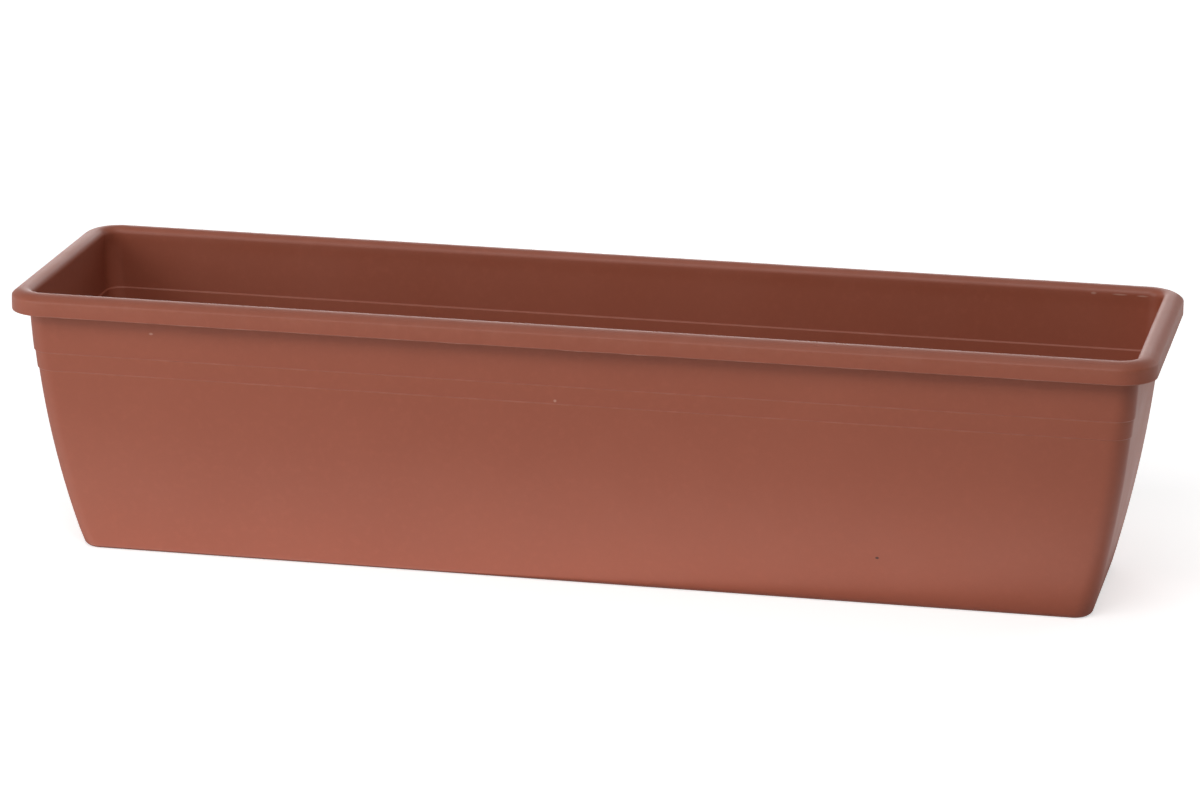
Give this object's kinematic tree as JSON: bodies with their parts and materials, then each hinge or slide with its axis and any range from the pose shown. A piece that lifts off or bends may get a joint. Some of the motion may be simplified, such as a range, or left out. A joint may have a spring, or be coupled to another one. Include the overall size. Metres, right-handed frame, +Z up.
{
  "type": "window box planter",
  "caption": "Long low plastic trough with a rolled rim and inward-curving walls, with push-in plugs closing its drain holes.",
  "frame": {"origin": "middle of the footprint, on the plane that the foot ring stands on", "axes": "+X along the box, +Y to its back wall, +Z up out of its mouth"},
  "size_m": [0.6, 0.164, 0.145],
  "materials": {
    "trough_plastic": "satin moulded terracotta-coloured polypropylene",
    "plug_plastic": "satin moulded brown polyethylene"
  },
  "bodies": {
    "trough": {"trough": "trough_plastic"},
    "drain_plug_1": {"drain_plug_1": "plug_plastic"},
    "drain_plug_2": {"drain_plug_2": "plug_plastic"},
    "drain_plug_3": {"drain_plug_3": "plug_plastic"},
    "drain_plug_4": {"drain_plug_4": "plug_plastic"},
    "drain_plug_5": {"drain_plug_5": "plug_plastic"},
    "drain_plug_6": {"drain_plug_6": "plug_plastic"}
  },
  "joints": [
    {"name": "drain_plug_1_pull", "type": "slide", "parent": "trough", "child": "drain_plug_1", "axis": [0, 0, 1], "range_m": [0, 0.02]},
    {"name": "drain_plug_2_pull", "type": "slide", "parent": "trough", "child": "drain_plug_2", "axis": [0, 0, 1], "range_m": [0, 0.02]},
    {"name": "drain_plug_3_pull", "type": "slide", "parent": "trough", "child": "drain_plug_3", "axis": [0, 0, 1], "range_m": [0, 0.02]},
    {"name": "drain_plug_4_pull", "type": "slide", "parent": "trough", "child": "drain_plug_4", "axis": [0, 0, 1], "range_m": [0, 0.02]},
    {"name": "drain_plug_5_pull", "type": "slide", "parent": "trough", "child": "drain_plug_5", "axis": [0, 0, 1], "range_m": [0, 0.02]},
    {"name": "drain_plug_6_pull", "type": "slide", "parent": "trough", "child": "drain_plug_6", "axis": [0, 0, 1], "range_m": [0, 0.02]}
  ]
}
